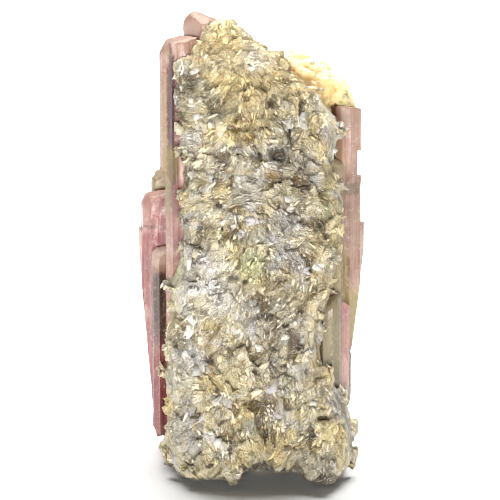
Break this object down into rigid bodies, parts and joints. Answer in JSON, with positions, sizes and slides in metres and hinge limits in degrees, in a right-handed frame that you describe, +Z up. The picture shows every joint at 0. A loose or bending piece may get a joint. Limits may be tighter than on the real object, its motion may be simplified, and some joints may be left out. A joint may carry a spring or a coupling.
{
  "type": "tourmaline specimen",
  "caption": "Upright sheaf of pink tourmaline prisms with a thick crust of mica and albite blades over its near side and foot, standing on its broken underside.",
  "frame": {"origin": "middle of the underside of the bounding box, at the level that the specimen rests on", "axes": "+Z up along the prisms, +X to the right as the crusted side is faced, +Y away from the crusted side"},
  "size_m": [0.0358, 0.0332, 0.0723],
  "materials": {
    "mica_crust": "rough, pearly blades",
    "albite": "sugary, dull",
    "pink_tourmaline": "vitreous, striated",
    "rose_tourmaline": "vitreous, striated",
    "dark_tourmaline": "vitreous, striated",
    "olive_tourmaline": "vitreous, striated",
    "grey_tourmaline": "glassy, striated"
  },
  "bodies": {
    "root": {"mica_crust": "mica_crust", "albite_lump": "albite", "tourmaline_near_left": "pink_tourmaline", "tourmaline_top_left": "pink_tourmaline", "tourmaline_left_dark": "dark_tourmaline", "tourmaline_left_rear": "rose_tourmaline", "tourmaline_left_back": "olive_tourmaline", "tourmaline_inner_left": "rose_tourmaline", "tourmaline_inner_front": "pink_tourmaline", "tourmaline_inner_middle": "rose_tourmaline", "tourmaline_inner_right": "pink_tourmaline", "tourmaline_core_left": "pink_tourmaline", "tourmaline_core_middle": "rose_tourmaline", "tourmaline_core_right": "rose_tourmaline", "tourmaline_back_left": "pink_tourmaline", "tourmaline_back_middle": "rose_tourmaline", "tourmaline_back_inner": "pink_tourmaline", "tourmaline_back_right": "pink_tourmaline", "tourmaline_back_sliver": "rose_tourmaline", "tourmaline_corner_right": "olive_tourmaline", "tourmaline_side_right": "rose_tourmaline", "tourmaline_right_rear": "pink_tourmaline", "tourmaline_right_olive": "olive_tourmaline", "tourmaline_right_glassy": "grey_tourmaline", "tourmaline_right_pink": "rose_tourmaline", "tourmaline_right_sliver": "grey_tourmaline"}
  },
  "joints": []
}
